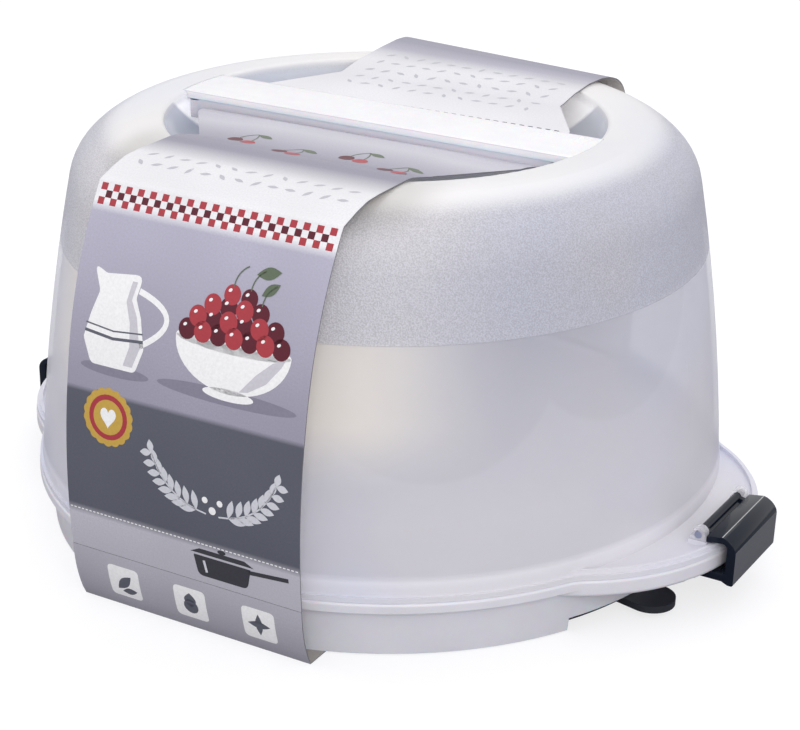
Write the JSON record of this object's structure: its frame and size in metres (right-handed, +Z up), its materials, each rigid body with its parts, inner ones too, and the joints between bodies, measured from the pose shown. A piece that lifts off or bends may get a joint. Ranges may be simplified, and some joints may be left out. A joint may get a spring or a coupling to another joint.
{
  "type": "cake carrier",
  "caption": "Round cake carrier: plate base with cooling compartment, translucent lift-off hood with sunk handle bar, snap clips on ears, card sleeve round it.",
  "frame": {"origin": "centre of the underside of the card sleeve that the carrier stands on, on the carrier's own vertical axis", "axes": "+Z up, +X from the left clip to the right clip along the handle bar, -Y towards the front of the sleeve"},
  "size_m": [0.3764, 0.3266, 0.187],
  "materials": {
    "base_plastic": "satin white polypropylene",
    "hood_plastic": "frosted translucent polypropylene",
    "clip_plastic": "smooth anthracite polypropylene",
    "cover_plastic": "satin anthracite polypropylene",
    "card": "printed white-lined board"
  },
  "bodies": {
    "base": {"base": "base_plastic", "sleeve_lower": "card"},
    "hood": {"hood": "hood_plastic", "handle_bar": "hood_plastic", "sleeve_upper": "card"},
    "clip_left": {"clip_left": "clip_plastic"},
    "clip_right": {"clip_right": "clip_plastic"},
    "cover": {"compartment_cover": "cover_plastic"}
  },
  "joints": [
    {"name": "hood_lift", "type": "slide", "parent": "base", "child": "hood", "axis": [0, 0, 1], "range_m": [0, 0.25]},
    {"name": "clip_left_hinge", "type": "hinge", "parent": "hood", "child": "clip_left", "pos_m": [-0.17105, 0, 0.0345], "axis": [0, 1, 0], "range_deg": [0, 110]},
    {"name": "clip_right_hinge", "type": "hinge", "parent": "hood", "child": "clip_right", "pos_m": [0.17105, 0, 0.0345], "axis": [0, -1, 0], "range_deg": [0, 110]},
    {"name": "cover_turn", "type": "hinge", "parent": "base", "child": "cover", "pos_m": [0, 0, 0.003], "axis": [0, 0, 1], "range_deg": [0, 25]}
  ]
}
